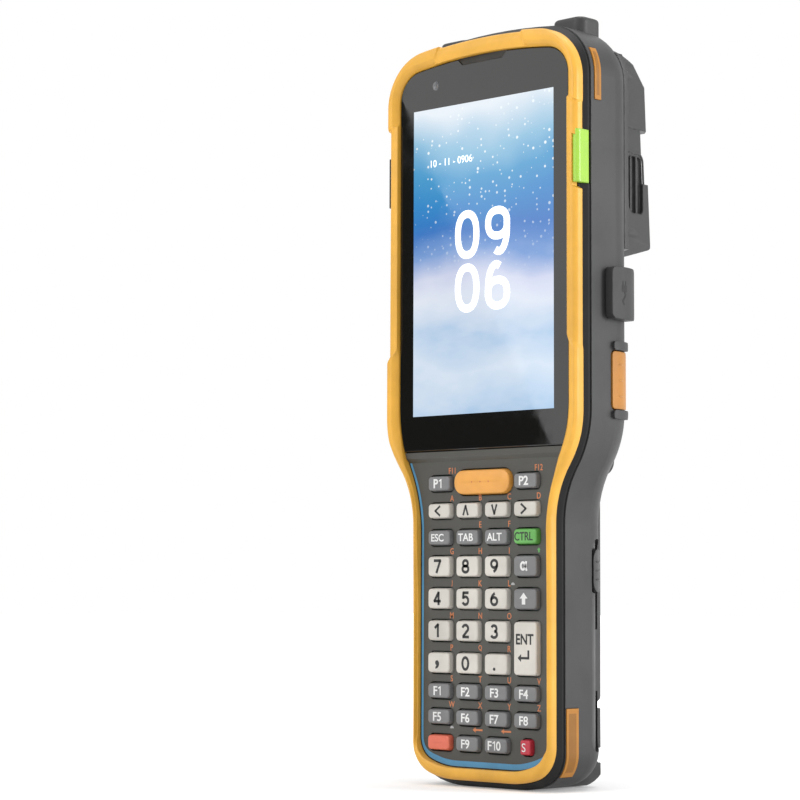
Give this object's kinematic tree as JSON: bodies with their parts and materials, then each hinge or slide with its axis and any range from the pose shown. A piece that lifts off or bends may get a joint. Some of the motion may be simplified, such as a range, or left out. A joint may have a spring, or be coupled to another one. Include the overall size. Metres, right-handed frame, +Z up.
{
  "type": "portable barcode data terminal",
  "caption": "Rugged handheld data terminal with a touch screen, a key pad, a scan head on the back, side triggers and a lift-off battery.",
  "frame": {"origin": "middle of the foot's flat face, in the device's middle plane", "axes": "+Z up the device from foot to head, screen faces -Y, +X to the right as the user sees the screen"},
  "size_m": [0.0802, 0.0479, 0.227],
  "materials": {
    "yellow_rubber": "satin, fine grain",
    "black_plastic": "fine spark texture",
    "cover_glass": "black-bordered touch glass",
    "display": "lit panel",
    "fascia_plastic": "satin",
    "board": "solder-masked laminate",
    "case_plastic": "fine spark texture",
    "head_plastic": "fine spark texture",
    "battery_plastic": "fine spark texture",
    "light_pipe": "translucent",
    "amber_strip": "satin",
    "trigger_amber": "satin",
    "latch_plastic": "satin",
    "soft_rubber": "matt",
    "strap_bar_metal": "black paint",
    "contact_metal": "plated",
    "screw_steel": "bright",
    "optic_glass": "coated",
    "engine_metal": "black",
    "pale_key": "satin",
    "grey_key": "satin",
    "amber_key": "satin",
    "orange_key": "satin",
    "red_key": "satin",
    "green_key": "satin"
  },
  "bodies": {
    "terminal_body": {"accent_strips": "amber_strip", "circuit_boards": "board", "connectors": "contact_metal", "display_module": "display", "fasteners": "screw_steel", "front_bezel": "yellow_rubber", "front_frame": "black_plastic", "keypad_fascia": "fascia_plastic", "optic_windows": "optic_glass", "port_cover_strap": "soft_rubber", "rear_case": "case_plastic", "scan_engine": "engine_metal", "scan_head_cover": "head_plastic", "status_light": "light_pipe", "strap_bar": "strap_bar_metal", "touch_glass": "cover_glass"},
    "key_0": {"key_0": "pale_key"},
    "key_1": {"key_1": "pale_key"},
    "key_2": {"key_2": "pale_key"},
    "key_3": {"key_3": "pale_key"},
    "key_4": {"key_4": "pale_key"},
    "key_5": {"key_5": "pale_key"},
    "key_6": {"key_6": "pale_key"},
    "key_7": {"key_7": "pale_key"},
    "key_8": {"key_8": "pale_key"},
    "key_9": {"key_9": "pale_key"},
    "key_alpha": {"key_alpha": "grey_key"},
    "key_alt": {"key_alt": "grey_key"},
    "key_comma": {"key_comma": "pale_key"},
    "key_control": {"key_control": "green_key"},
    "key_down": {"key_down": "pale_key"},
    "key_enter": {"key_enter": "pale_key"},
    "key_escape": {"key_escape": "grey_key"},
    "key_f1": {"key_f1": "grey_key"},
    "key_f10": {"key_f10": "grey_key"},
    "key_f2": {"key_f2": "grey_key"},
    "key_f3": {"key_f3": "grey_key"},
    "key_f4": {"key_f4": "grey_key"},
    "key_f5": {"key_f5": "grey_key"},
    "key_f6": {"key_f6": "grey_key"},
    "key_f7": {"key_f7": "grey_key"},
    "key_f8": {"key_f8": "grey_key"},
    "key_f9": {"key_f9": "grey_key"},
    "key_left": {"key_left": "pale_key"},
    "key_orange": {"key_orange": "orange_key"},
    "key_point": {"key_point": "pale_key"},
    "key_program_1": {"key_program_1": "grey_key"},
    "key_program_2": {"key_program_2": "grey_key"},
    "key_red": {"key_red": "red_key"},
    "key_right": {"key_right": "pale_key"},
    "key_scan": {"key_scan": "amber_key"},
    "key_shift": {"key_shift": "grey_key"},
    "key_tab": {"key_tab": "grey_key"},
    "key_up": {"key_up": "pale_key"},
    "battery": {"battery_pack": "battery_plastic"},
    "port_flap": {"port_cover": "soft_rubber"},
    "trigger_left": {"scan_trigger_left": "trigger_amber"},
    "latch_left": {"battery_latch_left": "latch_plastic"},
    "trigger_right": {"scan_trigger_right": "trigger_amber"},
    "latch_right": {"battery_latch_right": "latch_plastic"}
  },
  "joints": [
    {"name": "battery_lift", "type": "slide", "parent": "terminal_body", "child": "battery", "axis": [0, 1, 0], "range_m": [0, 0.02]},
    {"name": "latch_left_press", "type": "slide", "parent": "terminal_body", "child": "latch_left", "axis": [1, 0, 0], "range_m": [0, 0.0015], "stiffness_N_per_m": 700},
    {"name": "latch_right_press", "type": "slide", "parent": "terminal_body", "child": "latch_right", "axis": [-1, 0, 0], "range_m": [0, 0.0015], "stiffness_N_per_m": 700},
    {"name": "port_cover_open", "type": "hinge", "parent": "terminal_body", "child": "port_flap", "pos_m": [0.03605, 0.00805, 0.1439], "axis": [0, 0, 1], "range_deg": [0, 100]},
    {"name": "scan_trigger_left_press", "type": "slide", "parent": "terminal_body", "child": "trigger_left", "axis": [1, 0, 0], "range_m": [0, 0.0012], "stiffness_N_per_m": 700},
    {"name": "scan_trigger_right_press", "type": "slide", "parent": "terminal_body", "child": "trigger_right", "axis": [-1, 0, 0], "range_m": [0, 0.0012], "stiffness_N_per_m": 700},
    {"name": "travel_key_0", "type": "slide", "parent": "terminal_body", "child": "key_0", "axis": [0, 1, 0], "range_m": [0, 0.0009], "stiffness_N_per_m": 400},
    {"name": "travel_key_1", "type": "slide", "parent": "terminal_body", "child": "key_1", "axis": [0, 1, 0], "range_m": [0, 0.0009], "stiffness_N_per_m": 400},
    {"name": "travel_key_2", "type": "slide", "parent": "terminal_body", "child": "key_2", "axis": [0, 1, 0], "range_m": [0, 0.0009], "stiffness_N_per_m": 400},
    {"name": "travel_key_3", "type": "slide", "parent": "terminal_body", "child": "key_3", "axis": [0, 1, 0], "range_m": [0, 0.0009], "stiffness_N_per_m": 400},
    {"name": "travel_key_4", "type": "slide", "parent": "terminal_body", "child": "key_4", "axis": [0, 1, 0], "range_m": [0, 0.0009], "stiffness_N_per_m": 400},
    {"name": "travel_key_5", "type": "slide", "parent": "terminal_body", "child": "key_5", "axis": [0, 1, 0], "range_m": [0, 0.0009], "stiffness_N_per_m": 400},
    {"name": "travel_key_6", "type": "slide", "parent": "terminal_body", "child": "key_6", "axis": [0, 1, 0], "range_m": [0, 0.0009], "stiffness_N_per_m": 400},
    {"name": "travel_key_7", "type": "slide", "parent": "terminal_body", "child": "key_7", "axis": [0, 1, 0], "range_m": [0, 0.0009], "stiffness_N_per_m": 400},
    {"name": "travel_key_8", "type": "slide", "parent": "terminal_body", "child": "key_8", "axis": [0, 1, 0], "range_m": [0, 0.0009], "stiffness_N_per_m": 400},
    {"name": "travel_key_9", "type": "slide", "parent": "terminal_body", "child": "key_9", "axis": [0, 1, 0], "range_m": [0, 0.0009], "stiffness_N_per_m": 400},
    {"name": "travel_key_alpha", "type": "slide", "parent": "terminal_body", "child": "key_alpha", "axis": [0, 1, 0], "range_m": [0, 0.0009], "stiffness_N_per_m": 400},
    {"name": "travel_key_alt", "type": "slide", "parent": "terminal_body", "child": "key_alt", "axis": [0, 1, 0], "range_m": [0, 0.0009], "stiffness_N_per_m": 400},
    {"name": "travel_key_comma", "type": "slide", "parent": "terminal_body", "child": "key_comma", "axis": [0, 1, 0], "range_m": [0, 0.0009], "stiffness_N_per_m": 400},
    {"name": "travel_key_control", "type": "slide", "parent": "terminal_body", "child": "key_control", "axis": [0, 1, 0], "range_m": [0, 0.0009], "stiffness_N_per_m": 400},
    {"name": "travel_key_down", "type": "slide", "parent": "terminal_body", "child": "key_down", "axis": [0, 1, 0], "range_m": [0, 0.0009], "stiffness_N_per_m": 400},
    {"name": "travel_key_enter", "type": "slide", "parent": "terminal_body", "child": "key_enter", "axis": [0, 1, 0], "range_m": [0, 0.0009], "stiffness_N_per_m": 400},
    {"name": "travel_key_escape", "type": "slide", "parent": "terminal_body", "child": "key_escape", "axis": [0, 1, 0], "range_m": [0, 0.0009], "stiffness_N_per_m": 400},
    {"name": "travel_key_f1", "type": "slide", "parent": "terminal_body", "child": "key_f1", "axis": [0, 1, 0], "range_m": [0, 0.0009], "stiffness_N_per_m": 400},
    {"name": "travel_key_f10", "type": "slide", "parent": "terminal_body", "child": "key_f10", "axis": [0, 1, 0], "range_m": [0, 0.0009], "stiffness_N_per_m": 400},
    {"name": "travel_key_f2", "type": "slide", "parent": "terminal_body", "child": "key_f2", "axis": [0, 1, 0], "range_m": [0, 0.0009], "stiffness_N_per_m": 400},
    {"name": "travel_key_f3", "type": "slide", "parent": "terminal_body", "child": "key_f3", "axis": [0, 1, 0], "range_m": [0, 0.0009], "stiffness_N_per_m": 400},
    {"name": "travel_key_f4", "type": "slide", "parent": "terminal_body", "child": "key_f4", "axis": [0, 1, 0], "range_m": [0, 0.0009], "stiffness_N_per_m": 400},
    {"name": "travel_key_f5", "type": "slide", "parent": "terminal_body", "child": "key_f5", "axis": [0, 1, 0], "range_m": [0, 0.0009], "stiffness_N_per_m": 400},
    {"name": "travel_key_f6", "type": "slide", "parent": "terminal_body", "child": "key_f6", "axis": [0, 1, 0], "range_m": [0, 0.0009], "stiffness_N_per_m": 400},
    {"name": "travel_key_f7", "type": "slide", "parent": "terminal_body", "child": "key_f7", "axis": [0, 1, 0], "range_m": [0, 0.0009], "stiffness_N_per_m": 400},
    {"name": "travel_key_f8", "type": "slide", "parent": "terminal_body", "child": "key_f8", "axis": [0, 1, 0], "range_m": [0, 0.0009], "stiffness_N_per_m": 400},
    {"name": "travel_key_f9", "type": "slide", "parent": "terminal_body", "child": "key_f9", "axis": [0, 1, 0], "range_m": [0, 0.0009], "stiffness_N_per_m": 400},
    {"name": "travel_key_left", "type": "slide", "parent": "terminal_body", "child": "key_left", "axis": [0, 1, 0], "range_m": [0, 0.0009], "stiffness_N_per_m": 400},
    {"name": "travel_key_orange", "type": "slide", "parent": "terminal_body", "child": "key_orange", "axis": [0, 1, 0], "range_m": [0, 0.0009], "stiffness_N_per_m": 400},
    {"name": "travel_key_point", "type": "slide", "parent": "terminal_body", "child": "key_point", "axis": [0, 1, 0], "range_m": [0, 0.0009], "stiffness_N_per_m": 400},
    {"name": "travel_key_program_1", "type": "slide", "parent": "terminal_body", "child": "key_program_1", "axis": [0, 1, 0], "range_m": [0, 0.0009], "stiffness_N_per_m": 400},
    {"name": "travel_key_program_2", "type": "slide", "parent": "terminal_body", "child": "key_program_2", "axis": [0, 1, 0], "range_m": [0, 0.0009], "stiffness_N_per_m": 400},
    {"name": "travel_key_red", "type": "slide", "parent": "terminal_body", "child": "key_red", "axis": [0, 1, 0], "range_m": [0, 0.0009], "stiffness_N_per_m": 400},
    {"name": "travel_key_right", "type": "slide", "parent": "terminal_body", "child": "key_right", "axis": [0, 1, 0], "range_m": [0, 0.0009], "stiffness_N_per_m": 400},
    {"name": "travel_key_scan", "type": "slide", "parent": "terminal_body", "child": "key_scan", "axis": [0, 1, 0], "range_m": [0, 0.0009], "stiffness_N_per_m": 400},
    {"name": "travel_key_shift", "type": "slide", "parent": "terminal_body", "child": "key_shift", "axis": [0, 1, 0], "range_m": [0, 0.0009], "stiffness_N_per_m": 400},
    {"name": "travel_key_tab", "type": "slide", "parent": "terminal_body", "child": "key_tab", "axis": [0, 1, 0], "range_m": [0, 0.0009], "stiffness_N_per_m": 400},
    {"name": "travel_key_up", "type": "slide", "parent": "terminal_body", "child": "key_up", "axis": [0, 1, 0], "range_m": [0, 0.0009], "stiffness_N_per_m": 400}
  ]
}
